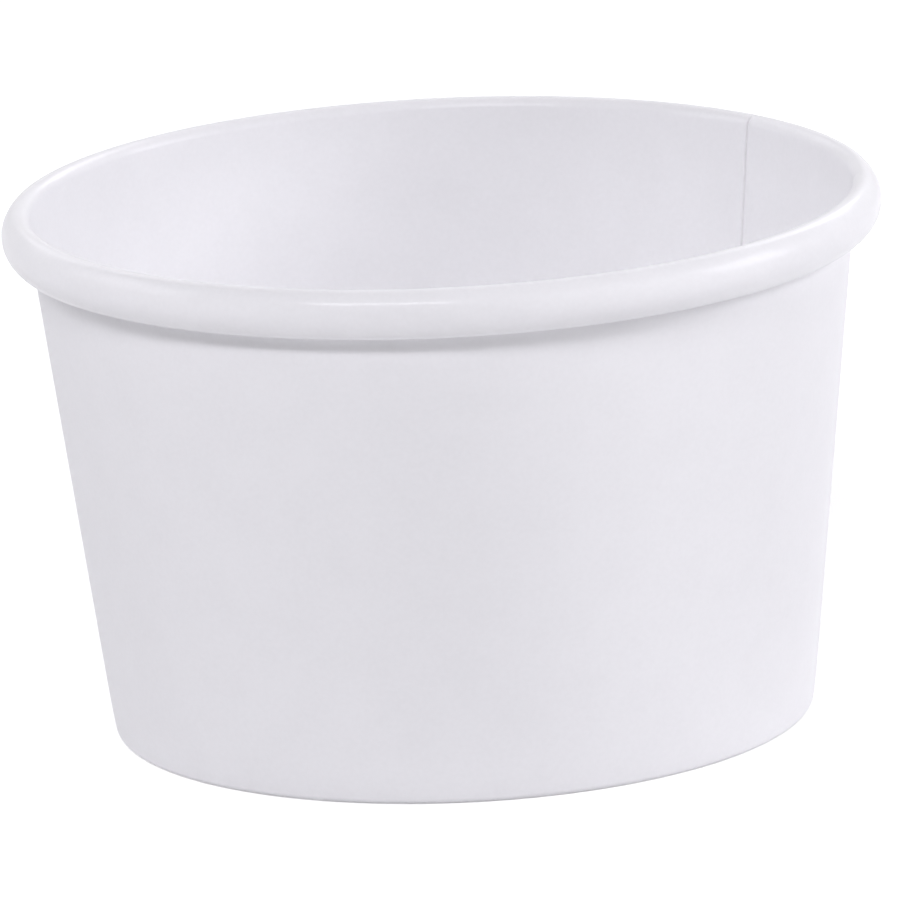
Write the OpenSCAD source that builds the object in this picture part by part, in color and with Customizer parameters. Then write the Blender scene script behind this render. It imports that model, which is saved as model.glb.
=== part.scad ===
// Paper soup container: a squat, slightly tapered cup of coated paperboard.
// The side wall is one fan-shaped blank, rolled round and lapped at a side seam.
// Its top edge is rolled outward into a hollow rim. Its bottom edge is folded in
// and up as a hem, which holds the skirt of a separate, recessed bottom disc.
// The base stands on Z = 0, the axis is Z, and the seam is at the back right.

/* [Cup] */
// Overall height, table to top of the rim
cup_h = 60; // [45:0.5:110]
// Inside diameter at the mouth, just under the crest of the rim
mouth_d = 91.6; // [80:0.1:120]
// Outside diameter of the wall at the table
base_d = 78.5; // [60:0.5:79.5]

/* [Board] */
// Thickness of the side wall's board
wall_t = 0.45; // [0.3:0.01:0.5]
// Thickness of the bottom disc's board
disc_t = 0.35; // [0.25:0.01:0.6]

/* [Rolled rim] */
// Height of the roll, crest to foot
rim_h = 5.5; // [4.6:0.1:7]
// Outside radius of the bend over the crest
rim_top_r = 1.3; // [1:0.05:1.6]
// Outside radius of the bulged outer side
rim_side_r = 3.2; // [2.9:0.05:6]
// Outside radius of the bend at the foot
rim_foot_r = 1.1; // [0.9:0.05:1.4]
// Gap between the wall and the tucked part of the roll
rim_gap = 0.1; // [0.02:0.01:0.4]
// Length of the straight part tucked up beside the wall
rim_tuck = 2; // [0.5:0.1:2.4]
// Outside radius of the last curl inside the roll
rim_curl_r = 0.8; // [0.6:0.05:1]
// Angle through which the last curl turns
rim_curl_angle = 130; // [30:5:170]

/* [Side seam] */
// Direction of the inner raw edge, counted from +X towards +Y
seam_azimuth = 40.3; // [0:0.1:80]
// Width by which the outer layer laps over the inner one
lap_w = 7; // [4:0.5:12]
// Width of the crease along the inner raw edge
crease_w = 0.4; // [0.2:0.05:0.8]
// Depth of the crease along the inner raw edge
crease_depth = 0.28; // [0.1:0.01:0.28]
// Angle past the crest's top at which the crease is pressed out
crease_run = 35; // [0:5:60]

/* [Hem and bottom] */
// Height of the folded hem above the table
hem_h = 7; // [4:0.5:12]
// Inside radius of the two corners of the hem's fold
fold_r = 0.1; // [0.05:0.01:0.15]
// Height from the hem's upper edge to the start of the disc's bend
hem_clear = 0.4; // [0.1:0.1:5]
// Outside radius of the bend from the disc into its skirt
disc_bend_r = 0.8; // [0.65:0.05:2]
// Gap between the skirt's lower edge and the hem's fold
skirt_gap = 0.3; // [0.1:0.05:2]
// Gap on each side of the skirt, filled by the sealed coating
seal_gap = 0.05; // [0.02:0.01:0.15]

/* [Hidden] */
$fn = 180;
board_white = [0.91, 0.91, 0.93];
// How far the short steps of a bend may leave the true round
bend_tolerance = 0.002;

// The wall's tilt from the vertical, between its foot outside and its mouth inside
wall_run = [mouth_d / 2 - base_d / 2, cup_h - rim_top_r];
wall_tilt = atan2(wall_run.x, wall_run.y) + asin(wall_t / norm(wall_run));
wall_up = [sin(wall_tilt), cos(wall_tilt)];
wall_out = [cos(wall_tilt), -sin(wall_tilt)];
// The angles in which the wall's two faces look
face_in = 180 - wall_tilt;
face_out = 360 - wall_tilt;

// Centres of the rim's bends, as radius and height: the crest, the foot, and the
// bulged side that touches both
top_c = [mouth_d / 2 + rim_top_r / cos(wall_tilt), cup_h - rim_top_r];
foot_c = wall_point(cup_h - rim_h + rim_foot_r, rim_gap + rim_foot_r);
crest_to_foot = foot_c - top_c;
rim_span = norm(crest_to_foot);
// The side is never rounder than a half circle round the two bends, with a little to spare
side_spare = 1.02;
side_r = max(rim_side_r, side_spare * (rim_span + rim_top_r + rim_foot_r) / 2);
side_along = (pow(side_r - rim_top_r, 2) - pow(side_r - rim_foot_r, 2) + pow(rim_span, 2))
    / (2 * rim_span);
side_back = sqrt(pow(side_r - rim_top_r, 2) - pow(side_along, 2));
side_c = top_c + (crest_to_foot * side_along
    + [crest_to_foot.y, -crest_to_foot.x] * side_back) / rim_span;
side_from = direction(top_c - side_c);
side_to = direction(foot_c - side_c);
// Centre of the last curl, at the end of the part tucked up beside the wall
curl_c = foot_c + wall_up * rim_tuck + wall_out * (rim_curl_r - rim_foot_r);

// The hem's pocket for the skirt, and the centres of the fold's two corners
pocket = disc_t + 2 * seal_gap;
fold_outer_r = fold_r + wall_t;
fold_outer_c = wall_point(fold_outer_r, -fold_outer_r);
fold_inner_c = wall_point(fold_outer_r, fold_outer_r - 2 * wall_t - pocket);

// The bottom disc: its upper face, its bend, and its skirt's lower edge
disc_level = hem_h + hem_clear + disc_bend_r;
skirt_depth = wall_t + seal_gap;
disc_bend_c = wall_point(disc_level - disc_bend_r, -skirt_depth - disc_bend_r);
skirt_low = wall_t + skirt_gap;

// The side seam: the outer layer leaves the wall as a flat ramp, covers the inner raw
// edge, and ends in a raw edge of its own
lap_angle = degrees(lap_w / (mouth_d / 2));
crease_angle = degrees(crease_w / (mouth_d / 2));
// How deep the ramp's plane starts inside the board
lap_bond = 0.03;
ramp_angle = acos((base_d / 2 - lap_bond) / (base_d / 2 + wall_t));
lap_foot_r = fold_outer_r + wall_t;
lap_foot_angle = -asin(fold_outer_r / lap_foot_r);

// An angle in degrees, from its arc on a circle of radius 1
function degrees(arc) = arc * 180 / PI;

// A point beside the wall's outer face, at a height z; a negative side is inward
function wall_point(z, side) = [base_d / 2 + z * tan(wall_tilt) + side / cos(wall_tilt), z];

// The angle in which a vector points
function direction(v) = atan2(v.y, v.x);

// The points along a bend of radius r round a centre, from one angle to another
function bend(c, r, from, to) =
    let (steps = ceil(abs(to - from) / (2 * acos(1 - bend_tolerance / r))))
    [for (i = [0:steps]) let (a = from + (to - from) * i / steps) c + r * [cos(a), sin(a)]];

function reversed(points) = [for (i = [len(points) - 1:-1:0]) points[i]];

// One face of the side wall's board, from the hem's upper edge to the end inside the
// roll. Depth 0 is the face inside the cup and outside the roll, wall_t is its back.
function sidewall_face(depth) = concat(
    [wall_point(hem_h, -wall_t - pocket - depth)],
    bend(fold_inner_c, fold_r + depth, face_in, 270),
    bend(fold_outer_c, fold_r + depth, 270, face_out),
    bend(top_c, rim_top_r - depth, face_in, side_from),
    bend(side_c, side_r - depth, side_from, side_to),
    bend(foot_c, rim_foot_r - depth, side_to, face_in - 360),
    bend(curl_c, rim_curl_r - depth, face_in, face_in - rim_curl_angle));

// One face of the bottom disc's board, from the axis over the bend to the skirt's edge
function disc_face(depth) = concat(
    [[0, disc_level - depth]],
    bend(disc_bend_c, disc_bend_r - depth, 90, -wall_tilt),
    [wall_point(skirt_low, -skirt_depth - depth)]);

// The line up the wall's inside and over the crest, at a depth in the board
function crease_face(depth) = concat(
    [wall_point(hem_h, depth - wall_t)],
    bend(top_c, rim_top_r - depth, face_in, 90 - crease_run));

// A section between two faces
module section(face, back) {
    polygon(concat(face, reversed(back)));
}

// The section of the outer layer of the seam, rooted in the board that it lies on
module lap_section() {
    polygon(concat(
        [[fold_outer_c.x, wall_t / 2], [fold_outer_c.x, 0]],
        bend(fold_outer_c, lap_foot_r, lap_foot_angle, -wall_tilt),
        [wall_point(foot_c.y, wall_t), wall_point(foot_c.y, -wall_t / 2),
            wall_point(fold_outer_r, -wall_t / 2)]));
}

// The outer layer of the seam: a flat plane cuts its start down to a ramp off the wall
module lap() {
    reach = 2 * cup_h;
    intersection() {
        rotate_extrude(start = seam_azimuth - ramp_angle, angle = ramp_angle + lap_angle)
            lap_section();
        rotate([0, 0, seam_azimuth - ramp_angle]) translate([base_d / 2, 0, 0])
            rotate([0, wall_tilt, 0]) translate([-reach - lap_bond, -reach / 2, -reach / 2])
                cube([reach, reach, 2 * reach]);
    }
}

// The crease along the inner raw edge, up the wall's inside and over the crest
module crease() {
    rotate_extrude(start = seam_azimuth - crease_angle, angle = crease_angle)
        section(crease_face(-crease_depth), crease_face(crease_depth));
}

// The side wall: one lapped blank with its rolled rim and its hem
module sidewall() {
    color(board_white) difference() {
        union() {
            rotate_extrude() section(sidewall_face(0), sidewall_face(wall_t));
            lap();
        }
        crease();
    }
}

// The bottom: a flat disc whose edge is turned down as a skirt inside the wall
module bottom_disc() {
    color(board_white) rotate_extrude() section(disc_face(0), disc_face(disc_t));
}

sidewall();
bottom_disc();
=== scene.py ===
"""The looks of a paper soup container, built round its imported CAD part.

Both pieces are lofted again here from the sizes in the part's source, finer than the CAD
solids and with the seam's raw edges. Sizes are in millimetres until a mesh is made.
"""

from math import asin, atan2, cos, degrees, hypot, pi, radians, sin, sqrt, tan

import bmesh
import bpy
import numpy as np
from mathutils import Matrix, Vector


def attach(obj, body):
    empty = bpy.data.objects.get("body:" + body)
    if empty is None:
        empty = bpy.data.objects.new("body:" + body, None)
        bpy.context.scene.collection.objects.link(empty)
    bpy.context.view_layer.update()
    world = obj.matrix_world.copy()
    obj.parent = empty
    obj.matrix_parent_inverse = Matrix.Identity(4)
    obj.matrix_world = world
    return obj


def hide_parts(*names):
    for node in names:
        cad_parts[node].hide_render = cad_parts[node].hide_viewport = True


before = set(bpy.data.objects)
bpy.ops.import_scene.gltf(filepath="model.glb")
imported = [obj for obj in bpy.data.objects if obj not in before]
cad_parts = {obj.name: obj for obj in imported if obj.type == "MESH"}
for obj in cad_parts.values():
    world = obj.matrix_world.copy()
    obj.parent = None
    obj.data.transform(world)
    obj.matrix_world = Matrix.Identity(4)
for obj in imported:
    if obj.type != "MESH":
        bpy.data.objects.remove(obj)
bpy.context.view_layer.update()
MM = 0.001

# The cup, as in the part's source
CUP_H, MOUTH_D, BASE_D = 60.0, 91.6, 78.5
WALL_T, DISC_T = 0.45, 0.35
RIM_H, RIM_GAP, RIM_TUCK = 5.5, 0.1, 2.0
RIM_TOP_R, RIM_SIDE_R, RIM_FOOT_R = 1.3, 3.2, 1.1
RIM_CURL_R, RIM_CURL_ANGLE = 0.8, 130.0
SEAM_AZIMUTH, LAP_W = 40.3, 7.0
HEM_H, FOLD_R, HEM_CLEAR = 7.0, 0.1, 0.4
DISC_BEND_R, SKIRT_GAP, SEAL_GAP = 0.8, 0.3, 0.05

# The seam's details, which the solids only hint at
EDGE_DROP = 0.32  # how far the outer layer lies below the inner raw edge
EDGE_ROUND = 0.1  # rounding of a raw edge's corner
EDGE_LEAN = 0.02  # how far a cut leans over its own thickness
RAMP_W = 7.1  # stretch over which the outer layer climbs onto the inner one
LAP_ROOM = 0.05  # air between the lap and the tucked part of the roll

# The dip of the outer layer below the inner raw edge: its steep and its long part, as
# share and reach, the distance where it stops, and the shares of it that are left
DIP_PARTS, DIP_STOP = ((0.8, 0.45), (0.2, 2.0)), 14
HEM_DIP, FOLD_DIP, ROLL_DIP = 0.4, 0.3, 0.07
CREST_FADE_FROM, CREST_FADE_OVER = 0.25, 0.45

# The pressed base, rounder and narrower than the solids
HEEL_R = 0.3  # inside radius of the fold's outer corner
HEEL_H, HEEL_IN = 5.0, 0.14  # height of the drawn-in part, and how far it is drawn in


# Section of the cup
WALL_RUN = (MOUTH_D / 2 - BASE_D / 2, CUP_H - RIM_TOP_R)
TILT = atan2(*WALL_RUN) + asin(WALL_T / hypot(*WALL_RUN))
WALL_UP = np.array((sin(TILT), cos(TILT)))
WALL_OUT = np.array((cos(TILT), -sin(TILT)))
FACE_IN, FACE_OUT = 180 - degrees(TILT), 360 - degrees(TILT)


def wall_point(z, side):
    """A point beside the wall's outer face, as radius and height; a negative side is inward."""
    return np.array((BASE_D / 2 + z * tan(TILT) + side / cos(TILT), z))


def heading(v):
    return degrees(atan2(v[1], v[0]))


def unit(angle):
    return np.array((cos(radians(angle)), sin(radians(angle))))


class Section:
    """The stations along one face of a board. Each has a place, the direction that the
    face looks in, the part of the section that it is on, and how far along that part."""

    def __init__(self):
        self.places, self.looks, self.parts, self.shares = [], [], [], []

    def station(self, place, look, part, share):
        self.places.append(place)
        self.looks.append(look)
        self.parts.append(part)
        self.shares.append(share)

    def straight(self, start, stop, look, part, steps):
        """A straight stretch, without the two stations at its ends."""
        for i in range(1, steps):
            share = i / steps
            self.station(start + (stop - start) * share, look, part, share)

    def bend(self, centre, radius, start, stop, part, steps, hollow=False, joined=False):
        """A bend. The face of a hollow one looks towards its centre, and a joined one
        starts where the bend before it stopped."""
        for i in range(1 if joined else 0, steps + 1):
            out = unit(start + (stop - start) * i / steps)
            self.station(centre + radius * out, -out if hollow else out, part, i / steps)

    def share_of(self, **rules):
        """One number per station: each part's rule, a number or a function of the share."""
        values = []
        for part, share in zip(self.parts, self.shares):
            rule = rules.get(part, 0.0)
            values.append(rule(share) if callable(rule) else rule)
        return np.array(values)

    def arrays(self):
        return np.array(self.places), np.array(self.looks)


def sidewall_section():
    """The side wall's coated face, from the hem's upper edge to the end inside the roll."""
    top = np.array((MOUTH_D / 2 + RIM_TOP_R / cos(TILT), CUP_H - RIM_TOP_R))
    foot = wall_point(CUP_H - RIM_H + RIM_FOOT_R, RIM_GAP + RIM_FOOT_R)
    span = foot - top
    length = hypot(*span)
    near, far = RIM_SIDE_R - RIM_TOP_R, RIM_SIDE_R - RIM_FOOT_R
    along = (near**2 - far**2 + length**2) / (2 * length)
    back = sqrt(near**2 - along**2)
    side = top + (span * along + np.array((span[1], -span[0])) * back) / length
    side_from, side_to = heading(top - side), heading(foot - side)
    curl = foot + WALL_UP * RIM_TUCK + WALL_OUT * (RIM_CURL_R - RIM_FOOT_R)

    pocket = DISC_T + 2 * SEAL_GAP
    heel_outer_r, fold_outer_r = HEEL_R + WALL_T, FOLD_R + WALL_T
    fold_out = wall_point(heel_outer_r, -heel_outer_r)
    fold_in = wall_point(fold_outer_r, fold_outer_r - 2 * WALL_T - pocket)

    s = Section()
    hem_top = wall_point(HEM_H, -WALL_T - pocket)
    hem_low = fold_in + FOLD_R * unit(FACE_IN)
    s.station(hem_top, WALL_OUT, "hem", 0.0)
    s.straight(hem_top, hem_low, WALL_OUT, "hem", steps=5)
    s.bend(fold_in, FOLD_R, FACE_IN, 270, "fold", steps=5, hollow=True)
    s.bend(fold_out, HEEL_R, 270, FACE_OUT, "fold", steps=7, hollow=True)
    wall_low, wall_top = fold_out + HEEL_R * unit(FACE_OUT), top + RIM_TOP_R * unit(FACE_IN)
    s.straight(wall_low, wall_top, -WALL_OUT, "wall", steps=28)
    s.bend(top, RIM_TOP_R, FACE_IN, side_from, "crest", steps=20)
    s.bend(side, RIM_SIDE_R, side_from, side_to, "side", steps=18, joined=True)
    s.bend(foot, RIM_FOOT_R, side_to, FACE_IN - 360, "foot", steps=14, joined=True)
    s.bend(curl, RIM_CURL_R, FACE_IN - 360, FACE_IN - 360 - RIM_CURL_ANGLE, "curl", steps=9)
    return s


def disc_section():
    """The bottom disc's coated face, from the axis over the bend to the skirt's edge."""
    level = HEM_H + HEM_CLEAR + DISC_BEND_R
    depth = WALL_T + SEAL_GAP
    bend_c = wall_point(level - DISC_BEND_R, -depth - DISC_BEND_R)
    up = np.array((0.0, 1.0))
    s = Section()
    middle = np.array((0.0, level))
    s.station(middle, up, "flat", 0.0)
    s.straight(middle, bend_c + DISC_BEND_R * up, up, "flat", steps=24)
    s.bend(bend_c, DISC_BEND_R, 90, -degrees(TILT), "bend", steps=12)
    skirt_top = bend_c + DISC_BEND_R * WALL_OUT
    skirt_low = wall_point(WALL_T + SKIRT_GAP, -depth)
    s.straight(skirt_top, skirt_low, WALL_OUT, "skirt", steps=4)
    s.station(skirt_low, WALL_OUT, "skirt", 1.0)
    return s


# Round the cup
SHARP_ANGLE = 32  # degrees between two faces from which their edge is sharp
WELD_DISTANCE = 1e-7


def ease(x):
    """0 below 0 and 1 above 1, with a soft start and end."""
    x = np.clip(x, 0.0, 1.0)
    return x * x * (3 - 2 * x)


def corner(distance):
    """How far a rounded corner lies below its face, at a distance from the edge."""
    x = np.clip(EDGE_ROUND - distance, 0.0, EDGE_ROUND)
    return EDGE_ROUND - np.sqrt(EDGE_ROUND**2 - x**2)


def columns():
    """Azimuths of the loft in degrees, close together at the seam's two raw edges, and how
    far in millimetres each is from the inner raw edge."""
    per_mm = degrees(1 / (MOUTH_D / 2))
    ramp = [-6.5, -5.8, -5.1, -4.4, -3.7, -3.0, -2.4, -1.9, -1.45, -1.05, -0.75, -0.5, -0.3, -0.15]
    edge = [-EDGE_LEAN, 0.0, 0.015, 0.035, 0.06, EDGE_ROUND, 0.25, 0.6, 1.2]
    lap = [LAP_W - x for x in (1.2, 0.6, 0.25, EDGE_ROUND, 0.06, 0.035, 0.015, 0.0, -EDGE_LEAN)]
    fine = [SEAM_AZIMUTH + x * per_mm for x in ramp + edge + lap + [LAP_W + 0.3, LAP_W + 0.8]]
    gap = 0.6
    coarse = [a for a in np.arange(0.0, 360.0, 1.0) if min(abs(a - f) for f in fine) > gap]
    azimuths = np.array(sorted(fine + coarse))
    return azimuths, (azimuths - SEAM_AZIMUTH) / per_mm


def mesh_from_rings(name, radius, height, azimuths, materials, kinds):
    """A closed mesh from one closed ring of points for each azimuth, drawn in at the base.
    kinds gives the material of each stretch of the ring, at each azimuth."""
    count, ring = radius.shape
    radius = radius - HEEL_IN * np.clip(1 - height / HEEL_H, 0.0, 1.0) ** 2
    angle = np.radians(azimuths)[:, None]
    verts = np.stack((radius * np.cos(angle), radius * np.sin(angle), height), axis=-1) * MM
    j, i = np.meshgrid(np.arange(count), np.arange(ring), indexing="ij")
    j2, i2 = (j + 1) % count, (i + 1) % ring
    quads = np.stack((j * ring + i, j * ring + i2, j2 * ring + i2, j2 * ring + i), axis=-1)
    mesh = bpy.data.meshes.new(name)
    mesh.from_pydata(verts.reshape(-1, 3).tolist(), [], quads.reshape(-1, 4).tolist())
    for material in materials:
        mesh.materials.append(material)
    mesh.polygons.foreach_set("material_index", kinds.reshape(-1).astype(np.int32))
    mesh.shade_smooth()
    mesh.set_sharp_from_angle(angle=radians(SHARP_ANGLE))
    obj = bpy.data.objects.new(name, mesh)
    bpy.context.scene.collection.objects.link(obj)
    return obj


COATED, PLAIN, CUT = 0, 1, 2  # places in the list of materials


def build_sidewall(materials):
    """One lapped blank with its rolled rim and hem, and both raw edges of its seam."""
    section = sidewall_section()
    places, looks = section.arrays()
    azimuths, off = columns()
    n = len(places)

    # Inside, the outer layer dips to get below the raw edge, and the roll presses it flush
    fade = lambda share: 1 - (1 - ROLL_DIP) * ease((share - CREST_FADE_FROM) / CREST_FADE_OVER)
    drop_share = section.share_of(
        hem=HEM_DIP, fold=FOLD_DIP, wall=1.0, crest=fade, side=ROLL_DIP, foot=ROLL_DIP
    )
    right = np.clip(-off, 0.0, None)
    dip = sum(share * np.exp(-right / reach) for share, reach in DIP_PARTS)
    dipped = (off < 0) & (right < DIP_STOP)
    dip = np.where(dipped, EDGE_DROP * dip, corner(np.clip(off, 0.0, None)))
    face_depth = dip[:, None] * drop_share[None, :]

    # Outside, the outer layer climbs onto the inner one and ends in a raw edge
    climb = np.clip(1 + off / RAMP_W, 0.0, 1.0) ** 2
    lap = np.where(off <= LAP_W, WALL_T * climb - corner(np.clip(LAP_W - off, 0.0, None)), 0.0)
    lap = np.where(off < -RAMP_W, 0.0, np.clip(lap, 0.0, None))
    lap_share = section.share_of(hem=1.0, fold=1.0, wall=1.0, crest=lambda t: 1 - ease(t))
    back_depth = WALL_T + lap[:, None] * lap_share[None, :]

    # The tucked part of the roll makes room for the lap that it lies on
    tuck_share = section.share_of(foot=ease, curl=1.0)
    room = (WALL_T - RIM_GAP + LAP_ROOM) * ease(lap / WALL_T)
    moved = room[:, None, None] * tuck_share[None, :, None] * WALL_OUT[None, None, :]

    face = places[None] - looks[None] * face_depth[..., None] + moved
    back = places[None] - looks[None] * back_depth[..., None] + moved
    rings = np.concatenate((face, back[:, ::-1]), axis=1)
    radius, height = rings[..., 0], np.clip(rings[..., 1], 0.0, None)

    kinds = np.full((len(azimuths), 2 * n), PLAIN)
    kinds[:, : n - 1] = COATED
    kinds[:, n - 1] = kinds[:, 2 * n - 1] = CUT
    at = lambda x: int(np.argmin(np.abs(off - x)))
    kinds[at(-EDGE_LEAN), : n - 1] = CUT
    kinds[at(LAP_W), n : 2 * n - 1] = CUT
    obj = mesh_from_rings("sidewall_board", radius, height, azimuths, materials, kinds)
    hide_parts("sidewall")
    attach(obj, "root")


def build_disc(materials):
    """The bottom disc with its turned-down skirt."""
    section = disc_section()
    places, looks = section.arrays()
    azimuths = np.arange(0.0, 360.0, 1.5)
    n = len(places)
    ring = np.concatenate((places, (places - looks * DISC_T)[::-1]))
    rings = np.repeat(ring[None], len(azimuths), axis=0)
    kinds = np.full((len(azimuths), 2 * n), PLAIN)
    kinds[:, : n - 1] = COATED
    kinds[:, n - 1] = CUT
    obj = mesh_from_rings(
        "bottom_disc_board", rings[..., 0], rings[..., 1], azimuths, materials, kinds
    )
    weld_middle(obj.data)
    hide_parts("bottom_disc")
    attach(obj, "root")


def weld_middle(mesh):
    """Joins the points that the rings share on the axis, and drops what that leaves loose."""
    bm = bmesh.new()
    bm.from_mesh(mesh)
    bmesh.ops.remove_doubles(bm, verts=bm.verts, dist=WELD_DISTANCE)
    bmesh.ops.delete(bm, geom=[e for e in bm.edges if e.is_wire], context="EDGES")
    bm.to_mesh(mesh)
    bm.free()


# Materials
def node_tree(name):
    material = bpy.data.materials.new(name)
    material.use_nodes = True
    tree = material.node_tree
    return material, tree, tree.nodes["Principled BSDF"]


def add(tree, kind, **settings):
    node = tree.nodes.new(kind)
    for key, value in settings.items():
        if key in node.inputs:
            node.inputs[key].default_value = value
        else:
            setattr(node, key, value)
    return node


def grain(tree, coords, size_mm, detail=3.0):
    """Noise whose features are about size_mm across."""
    noise = add(tree, "ShaderNodeTexNoise", Scale=1 / (size_mm * MM), Detail=detail)
    tree.links.new(coords.outputs["Object"], noise.inputs["Vector"])
    return noise.outputs["Fac"]


def spread(tree, value, low, high):
    """Maps noise, which lies mostly between 0.3 and 0.7, to a range."""
    node = add(tree, "ShaderNodeMapRange")
    for key, number in (("From Min", 0.3), ("From Max", 0.7), ("To Min", low), ("To Max", high)):
        node.inputs[key].default_value = number
    tree.links.new(value, node.inputs["Value"])
    return node.outputs["Result"]


# Sizes of the paper's grain in millimetres, and how far it changes shade and roughness
CLOUD_MM, FLECK_MM, SHEEN_MM, FIBRE_MM, PEEL_MM = 6.0, 0.5, 2.5, 1.4, 0.5
CLOUD_SHADE, FLECK_SHADE, SHEEN_ROUGH = 0.008, 0.01, 0.04
SPECULAR_LEVEL, COAT_ROUGHNESS, COAT_IOR = 0.12, 0.12, 1.4


def board(name, shade, tint, roughness, coat, peel_um, fibre_um):
    """White paperboard. The shade varies a little with the way the pulp settled, and the
    surface has a fine peel from the coating and longer waves from the fibres."""
    material, tree, shader = node_tree(name)
    coords = add(tree, "ShaderNodeTexCoord")
    cloud, fleck = grain(tree, coords, CLOUD_MM), grain(tree, coords, FLECK_MM)
    both = add(tree, "ShaderNodeMath", operation="ADD")
    cloud = spread(tree, cloud, -CLOUD_SHADE, CLOUD_SHADE)
    fleck = spread(tree, fleck, shade - FLECK_SHADE, shade + FLECK_SHADE)
    tree.links.new(cloud, both.inputs[0])
    tree.links.new(fleck, both.inputs[1])
    colour = add(tree, "ShaderNodeVectorMath", operation="SCALE")
    colour.inputs[0].default_value = tint
    tree.links.new(both.outputs[0], colour.inputs["Scale"])
    tree.links.new(colour.outputs[0], shader.inputs["Base Color"])
    sheen = grain(tree, coords, SHEEN_MM)
    rough = spread(tree, sheen, roughness - SHEEN_ROUGH, roughness + SHEEN_ROUGH)
    tree.links.new(rough, shader.inputs["Roughness"])
    shader.inputs["Specular IOR Level"].default_value = SPECULAR_LEVEL
    shader.inputs["Coat Weight"].default_value = coat
    shader.inputs["Coat Roughness"].default_value = COAT_ROUGHNESS
    shader.inputs["Coat IOR"].default_value = COAT_IOR
    fibres = add(tree, "ShaderNodeBump", Strength=1.0, Distance=fibre_um * MM * MM)
    tree.links.new(grain(tree, coords, FIBRE_MM, detail=4.0), fibres.inputs["Height"])
    tree.links.new(fibres.outputs["Normal"], shader.inputs["Normal"])
    peel = add(tree, "ShaderNodeBump", Strength=1.0, Distance=peel_um * MM * MM)
    tree.links.new(grain(tree, coords, PEEL_MM, detail=2.0), peel.inputs["Height"])
    tree.links.new(fibres.outputs["Normal"], peel.inputs["Normal"])
    tree.links.new(peel.outputs["Normal"], shader.inputs["Coat Normal"])
    return material


WHITE_SHADE, WHITE_TINT = 0.93, (1.0, 0.996, 1.012)
RAW_SHADE, RAW_TINT = 0.92, (1.0, 0.99, 1.0)


def paper_materials():
    """The coated face, the plain back and the cut edge of the board."""
    return [
        board("coated_board", WHITE_SHADE, WHITE_TINT, 0.45, coat=0.26, peel_um=18, fibre_um=9),
        board("plain_board", WHITE_SHADE, WHITE_TINT, 0.6, coat=0.0, peel_um=18, fibre_um=11),
        board("cut_board", RAW_SHADE, RAW_TINT, 0.85, coat=0.0, peel_um=18, fibre_um=20),
    ]


# Floor, light and camera
def shown_directly(tree):
    """1 for rays from the camera, and for those reflected or let through, otherwise 0."""
    path = add(tree, "ShaderNodeLightPath")
    seen = path.outputs["Is Camera Ray"]
    for name in ("Is Glossy Ray", "Is Transmission Ray"):
        either = add(tree, "ShaderNodeMath", operation="MAXIMUM")
        tree.links.new(seen, either.inputs[0])
        tree.links.new(path.outputs[name], either.inputs[1])
        seen = either.outputs[0]
    return seen


FLOOR_GAP = 0.02 * MM  # keeps the floor off the face that the cup stands on


def build_floor(shade, lift, reach):
    """A pale floor whose lift makes it white to the camera and in reflections, and which
    keeps the object's shadow."""
    mesh = bpy.data.meshes.new("floor")
    around = np.radians(np.arange(0, 360, 4))
    rim = [(reach * cos(a), reach * sin(a), -FLOOR_GAP) for a in around]
    mesh.from_pydata(rim, [], [list(range(len(rim)))])
    floor = bpy.data.objects.new("floor", mesh)
    bpy.context.scene.collection.objects.link(floor)
    material, tree, shader = node_tree("floor_white")
    shader.inputs["Base Color"].default_value = (shade, shade, shade, 1)
    shader.inputs["Roughness"].default_value = 0.9
    shader.inputs["Specular IOR Level"].default_value = 0.0
    shader.inputs["Emission Color"].default_value = (1, 1, 1, 1)
    strength = add(tree, "ShaderNodeMath", operation="MULTIPLY")
    strength.inputs[1].default_value = lift
    tree.links.new(shown_directly(tree), strength.inputs[0])
    tree.links.new(strength.outputs[0], shader.inputs["Emission Strength"])
    mesh.materials.append(material)


def build_world():
    """White to the camera and in reflections, and dark otherwise."""
    world = bpy.data.worlds.new("studio")
    bpy.context.scene.world = world
    world.use_nodes = True
    tree = world.node_tree
    background = tree.nodes["Background"]
    background.inputs["Color"].default_value = (1, 1, 1, 1)
    tree.links.new(shown_directly(tree), background.inputs["Strength"])


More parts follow.
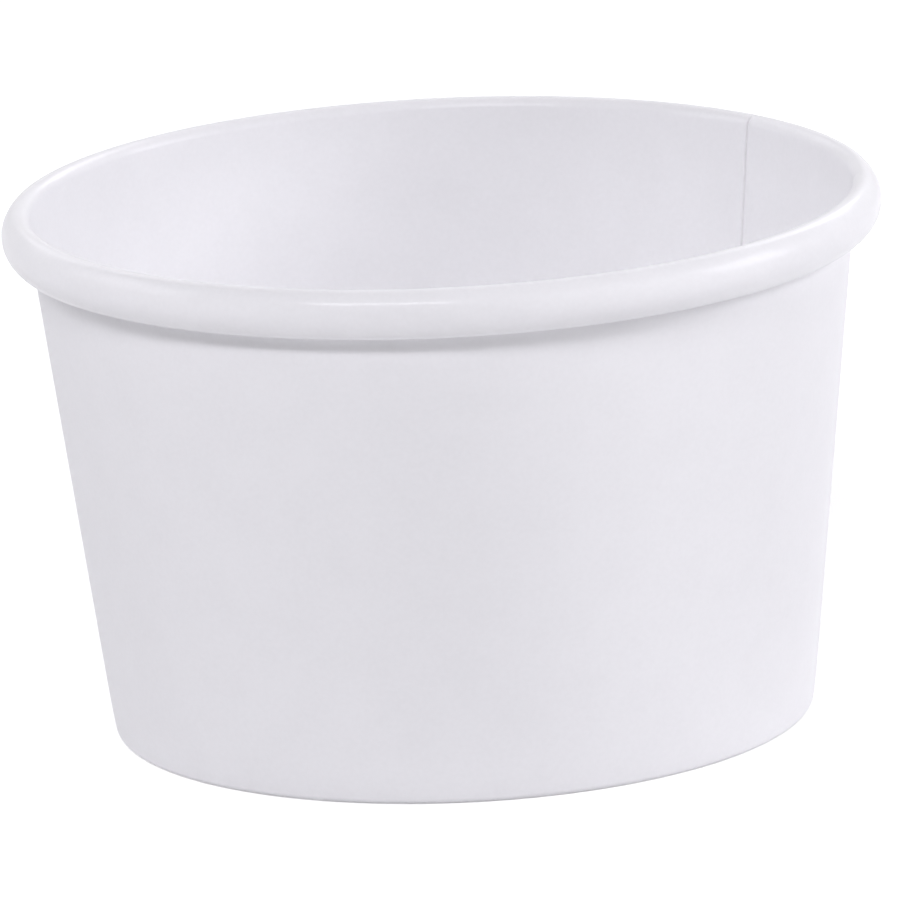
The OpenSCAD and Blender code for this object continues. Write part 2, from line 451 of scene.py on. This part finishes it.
def lamp(name, azimuth, elevation, distance, width, height, level):
    """A softbox aimed at the cup. Azimuth 0 is the camera's side, and 90 the right. The
    level is what it alone gives on a white surface that faces it."""
    a, e = radians(azimuth), radians(elevation)
    towards = Vector((sin(a) * cos(e), -cos(a) * cos(e), sin(e)))
    light = bpy.data.lights.new(name, "AREA")
    light.shape = "RECTANGLE"
    light.size, light.size_y = width, height
    light.energy = level * (pi * distance) ** 2
    light.color = COOL_WHITE
    obj = bpy.data.objects.new(name, light)
    obj.location = Vector((0, 0, CUP_H * MM / 2)) + towards * distance
    obj.rotation_euler = towards.to_track_quat("Z", "Y").to_euler()
    obj.visible_camera = False
    bpy.context.scene.collection.objects.link(obj)


COOL_WHITE = (0.968, 0.957, 1.0)
# name, azimuth, elevation, distance, width, height, level
LAMPS = [
    ("right_key", 88, 24, 1.0, 0.45, 0.4, 0.46),
    ("right_fill", 44, 32, 1.0, 0.6, 0.4, 0.115),
    ("front_high", -18, 42, 1.0, 0.6, 0.12, 0.48),
    ("left_box", -97, 32, 1.0, 0.6, 0.4, 0.28),
    ("back_left", 210, 32, 1.0, 0.5, 0.4, 0.16),
    ("back_right", 150, 32, 1.0, 0.4, 0.4, 0.26),
]


def build_camera():
    """The photograph's view: a long lens, a little above the rim, turned slightly."""
    elevation, roll, distance = radians(14.045), radians(-2.7535), 1.5424
    level_right, level_up = Vector((1, 0, 0)), Vector((0, sin(elevation), cos(elevation)))
    ahead = Vector((0, cos(elevation), -sin(elevation)))
    right = cos(roll) * level_right + sin(roll) * level_up
    up = -sin(roll) * level_right + cos(roll) * level_up
    data = bpy.data.cameras.new("camera")
    data.sensor_width, data.lens = 36.0, 551.84
    data.shift_x, data.shift_y = -0.0031, 0.0017
    data.clip_start, data.clip_end = 0.1, 20.0
    camera = bpy.data.objects.new("camera", data)
    spot = Vector((0, 0, CUP_H * MM / 2)) - ahead * distance
    turn = Matrix((right, up, -ahead)).transposed().to_4x4()
    camera.matrix_world = Matrix.Translation(spot) @ turn
    bpy.context.scene.collection.objects.link(camera)
    bpy.context.scene.camera = camera


paper = paper_materials()
build_sidewall(paper)
build_disc(paper)
build_floor(shade=0.9, lift=0.4, reach=2.5)
build_world()
for row in LAMPS:
    lamp(*row)
build_camera()
bpy.context.scene.view_settings.view_transform = "Standard"

bpy.context.view_layer.update()
